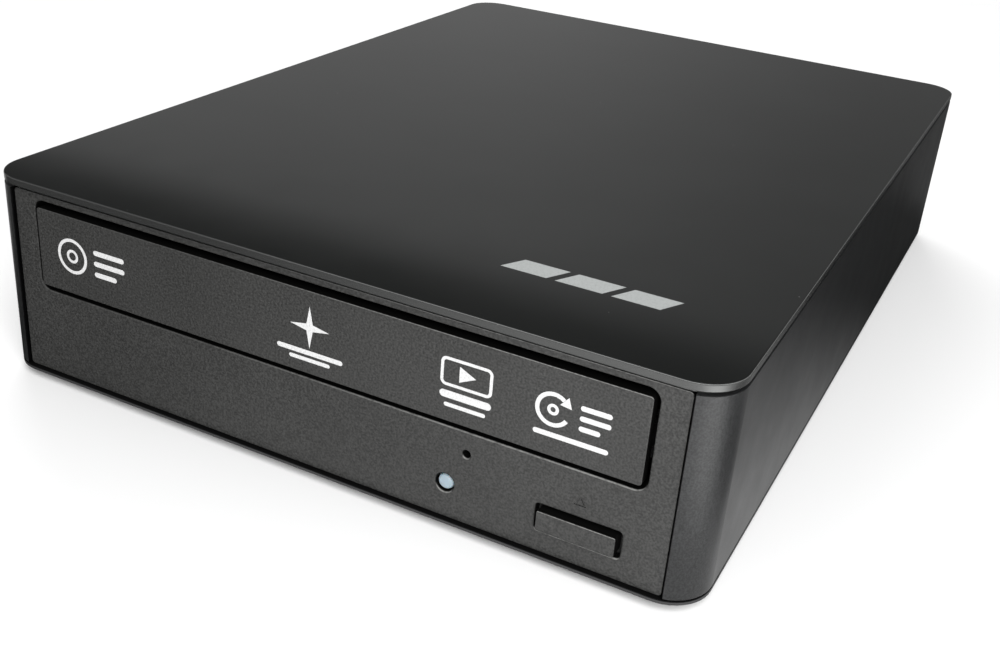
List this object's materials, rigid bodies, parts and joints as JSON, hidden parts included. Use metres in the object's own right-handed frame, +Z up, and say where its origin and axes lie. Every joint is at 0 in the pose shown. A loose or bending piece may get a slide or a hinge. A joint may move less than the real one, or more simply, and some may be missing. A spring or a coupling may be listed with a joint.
{
  "type": "external optical drive",
  "caption": "Desktop disc drive in a flat dark enclosure: motor-driven tray, eject button, activity light and rear power and data sockets.",
  "frame": {"origin": "centre of the case's footprint, on the plane under the feet", "axes": "+Z up, the bezel faces -Y, +X to the right when looking at the bezel"},
  "size_m": [0.1614, 0.2209, 0.0464],
  "materials": {
    "lid_paint": "smooth satin charcoal paint",
    "case_plastic": "fine textured dark grey moulding",
    "bezel_plastic": "pebble-grained dark grey moulding",
    "button_plastic": "fine-grained dark grey moulding",
    "base_paint": "dark powder coat",
    "foot_rubber": "matt black rubber",
    "damper_rubber": "soft black rubber",
    "belt_rubber": "black square-section belt",
    "screw_steel": "zinc-plated screw",
    "sheet_steel": "galvanised sheet",
    "rod_steel": "ground and polished rod",
    "board_green": "green solder resist",
    "chip_black": "black moulded package",
    "socket_black": "black moulded socket",
    "port_metal": "nickel-plated shell",
    "cable_sleeve": "red flat cable",
    "tray_plastic": "smooth black moulding",
    "frame_plastic": "black moulding",
    "gear_plastic": "natural white acetal",
    "lens_clear": "clear plastic light pipe",
    "magnet": "nickel-plated magnet",
    "motor_can": "drawn steel can",
    "sled_metal": "die-cast body",
    "optic_glass": "coated lens"
  },
  "bodies": {
    "case": {"top_cover": "lid_paint", "case_shell": "case_plastic", "bottom_cover": "base_paint", "rubber_feet": "foot_rubber", "bottom_screws": "screw_steel", "mounting_bracket_left": "sheet_steel", "mounting_bracket_right": "sheet_steel", "bracket_screws": "screw_steel", "drive_screws": "screw_steel", "bridge_board": "board_green", "bridge_chips": "chip_black", "board_screws": "screw_steel", "dc_jack": "socket_black", "usb_port": "port_metal", "switch_housing": "socket_black", "sata_plug": "socket_black", "cable_header": "socket_black", "sata_cable": "cable_sleeve", "drive_bezel": "bezel_plastic", "light_lens": "lens_clear", "drive_top_cover": "sheet_steel", "drive_bottom_plate": "sheet_steel", "cover_screws": "screw_steel", "loader_frame": "frame_plastic", "clamp_bridge": "sheet_steel", "bridge_screws": "screw_steel", "drive_board": "board_green", "drive_board_chips": "chip_black", "drive_board_screws": "screw_steel", "drive_socket": "socket_black", "front_board": "board_green", "eject_switch": "socket_black", "activity_led": "lens_clear", "loading_motor": "motor_can", "loading_belt": "belt_rubber"},
    "tray": {"disc_tray": "tray_plastic", "tray_door": "bezel_plastic"},
    "button": {"eject_button": "button_plastic"},
    "rocker": {"switch_rocker": "socket_black"},
    "drive_gear": {"drive_gear": "gear_plastic"},
    "pulley_gear": {"pulley_gear": "gear_plastic"},
    "motor_pulley": {"motor_pulley": "gear_plastic"},
    "deck": {"lift_frame": "frame_plastic", "mech_deck": "sheet_steel", "deck_dampers": "damper_rubber", "damper_screws": "screw_steel", "spindle_motor": "motor_can", "guide_rods": "rod_steel", "rod_holders": "frame_plastic", "sled_motor": "motor_can"},
    "cam_slider": {"cam_slider": "gear_plastic"},
    "turntable": {"turntable": "tray_plastic", "turntable_pad": "damper_rubber"},
    "clamp": {"clamp_puck": "gear_plastic", "clamp_cap": "gear_plastic", "clamp_magnet": "magnet"},
    "pickup": {"pickup_body": "sled_metal", "pickup_lens": "optic_glass"},
    "lead_screw": {"lead_screw": "rod_steel"}
  },
  "joints": [
    {"name": "tray_slide", "type": "slide", "parent": "case", "child": "tray", "axis": [0, -1, 0], "range_m": [0, 0.136]},
    {"name": "drive_gear_spin", "type": "hinge", "parent": "case", "child": "drive_gear", "pos_m": [0.052, -0.086, 0.0235], "axis": [0, 0, 1], "range_deg": [0, 867]},
    {"name": "pulley_gear_spin", "type": "hinge", "parent": "case", "child": "pulley_gear", "pos_m": [0.03146, -0.09037, 0.021], "axis": [0, 0, 1], "range_deg": [-2166, 0]},
    {"name": "motor_pulley_spin", "type": "hinge", "parent": "case", "child": "motor_pulley", "pos_m": [0, -0.0915, 0.019], "axis": [0, 0, 1], "range_deg": [-7216, 0]},
    {"name": "button_press", "type": "slide", "parent": "case", "child": "button", "axis": [0, 1, 0], "range_m": [0, 0.0008], "stiffness_N_per_m": 900},
    {"name": "rocker_tilt", "type": "hinge", "parent": "case", "child": "rocker", "pos_m": [0.045, 0.1045, 0.015], "axis": [0, 0, 1], "range_deg": [-16, 0]},
    {"name": "deck_tilt", "type": "hinge", "parent": "case", "child": "deck", "pos_m": [0, 0.044, 0.0205], "axis": [1, 0, 0], "range_deg": [0, 4]},
    {"name": "cam_slide", "type": "slide", "parent": "case", "child": "cam_slider", "axis": [1, 0, 0], "range_m": [0, 0.0181]},
    {"name": "turntable_spin", "type": "hinge", "parent": "deck", "child": "turntable", "pos_m": [0, -0.041, 0.031], "axis": [0, 0, 1], "continuous": true},
    {"name": "clamp_spin", "type": "hinge", "parent": "case", "child": "clamp", "pos_m": [0, -0.041, 0.037], "axis": [0, 0, 1], "continuous": true},
    {"name": "pickup_slide", "type": "slide", "parent": "deck", "child": "pickup", "axis": [0, 1, 0], "range_m": [0, 0.036]},
    {"name": "lead_screw_spin", "type": "hinge", "parent": "deck", "child": "lead_screw", "pos_m": [-0.033, 0, 0.0223], "axis": [0, 1, 0], "range_deg": [-4321, 0]}
  ],
  "couplings": [
    {"joint": "drive_gear_spin", "follows": "tray_slide", "rad_per_m": 111.11},
    {"joint": "pulley_gear_spin", "follows": "tray_slide", "rad_per_m": -277.78},
    {"joint": "motor_pulley_spin", "follows": "tray_slide", "rad_per_m": -925.93},
    {"joint": "cam_slide", "follows": "deck_tilt", "m_per_rad": 0.25783},
    {"joint": "clamp_spin", "follows": "turntable_spin", "ratio": 1},
    {"joint": "lead_screw_spin", "follows": "pickup_slide", "rad_per_m": -2094.4}
  ]
}
